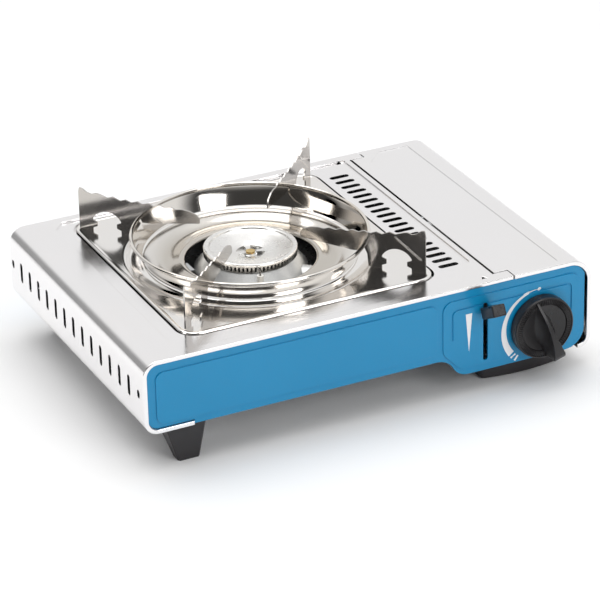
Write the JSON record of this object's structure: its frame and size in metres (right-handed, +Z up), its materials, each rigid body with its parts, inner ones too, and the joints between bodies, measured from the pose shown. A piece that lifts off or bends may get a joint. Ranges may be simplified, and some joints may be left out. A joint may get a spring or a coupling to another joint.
{
  "type": "camping stove",
  "caption": "Low sheet-metal table-top gas stove: round burner with wind shield and pan arms on the left, hinged cartridge bay, lock lever and valve knob on the right.",
  "frame": {"origin": "middle of the whole stove's footprint, on the surface that its feet stand on", "axes": "+X along the case from the burner side to the cartridge side, +Y from the control panel to the back, +Z up"},
  "size_m": [0.365, 0.2776, 0.123],
  "materials": {
    "polished_steel": "polished stainless sheet",
    "plated_steel": "zinc-plated sheet",
    "blue_enamel": "glossy blue enamel",
    "black_plastic": "fine-grained black plastic",
    "knob_plastic": "satin black plastic",
    "cast_aluminium": "die-cast, matt",
    "cap_aluminium": "turned, bright",
    "turned_brass": "turned brass",
    "copper_pipe": "drawn copper tube",
    "seal_rubber": "black rubber",
    "white_ceramic": "glazed ceramic"
  },
  "bodies": {
    "case": {"case_shell": "polished_steel", "base_pan": "plated_steel", "front_panel": "blue_enamel", "rear_panel": "blue_enamel", "foot_front_left": "black_plastic", "foot_rear_left": "black_plastic", "foot_front_right": "black_plastic", "foot_rear_right": "black_plastic", "foot_screws": "plated_steel", "bay_wall": "plated_steel", "valve_bulkhead": "plated_steel", "cartridge_cradle": "plated_steel", "lid_pin_front": "plated_steel", "lid_pin_rear": "plated_steel", "regulator_body": "cast_aluminium", "cartridge_collar": "plated_steel", "nozzle_seal": "seal_rubber", "piezo_igniter": "black_plastic", "lever_bracket": "plated_steel", "lever_pin": "plated_steel", "burner_body": "cast_aluminium", "burner_cap": "cap_aluminium", "burner_screw": "turned_brass", "mixing_tube": "plated_steel", "gas_jet": "turned_brass", "gas_pipe": "copper_pipe", "burner_bracket": "plated_steel", "spark_electrode": "white_ceramic", "electrode_wire": "plated_steel"},
    "lid": {"cartridge_lid": "polished_steel"},
    "knob": {"gas_knob": "knob_plastic", "valve_spindle": "turned_brass"},
    "lever": {"lock_lever": "plated_steel", "lever_handle": "knob_plastic"},
    "slider": {"cartridge_slider": "plated_steel"},
    "tray": {"drip_tray": "polished_steel"},
    "pan_support": {"wind_shield": "polished_steel", "pan_arm_rear_right": "polished_steel", "pan_arm_rear_left": "polished_steel", "pan_arm_front_left": "polished_steel", "pan_arm_front_right": "polished_steel"}
  },
  "joints": [
    {"name": "lid_hinge", "type": "hinge", "parent": "case", "child": "lid", "pos_m": [0.108, 0, 0.0869], "axis": [0, -1, 0], "range_deg": [0, 100]},
    {"name": "knob_turn", "type": "hinge", "parent": "case", "child": "knob", "pos_m": [0.1383, -0.11625, 0.0445], "axis": [0, -1, 0], "range_deg": [-17, 113]},
    {"name": "lever_swing", "type": "hinge", "parent": "case", "child": "lever", "pos_m": [0.0929, -0.08325, 0.047], "axis": [1, 0, 0], "range_deg": [0, 56]},
    {"name": "slider_travel", "type": "slide", "parent": "case", "child": "slider", "axis": [0, -1, 0], "range_m": [0, 0.006]},
    {"name": "tray_lift", "type": "slide", "parent": "case", "child": "tray", "axis": [0, 0, 1], "range_m": [0, 0.1]},
    {"name": "pan_support_lift", "type": "slide", "parent": "tray", "child": "pan_support", "axis": [0, 0, 1], "range_m": [0, 0.1]}
  ],
  "couplings": [
    {"joint": "slider_travel", "follows": "lever_swing", "m_per_rad": 0.00613}
  ]
}
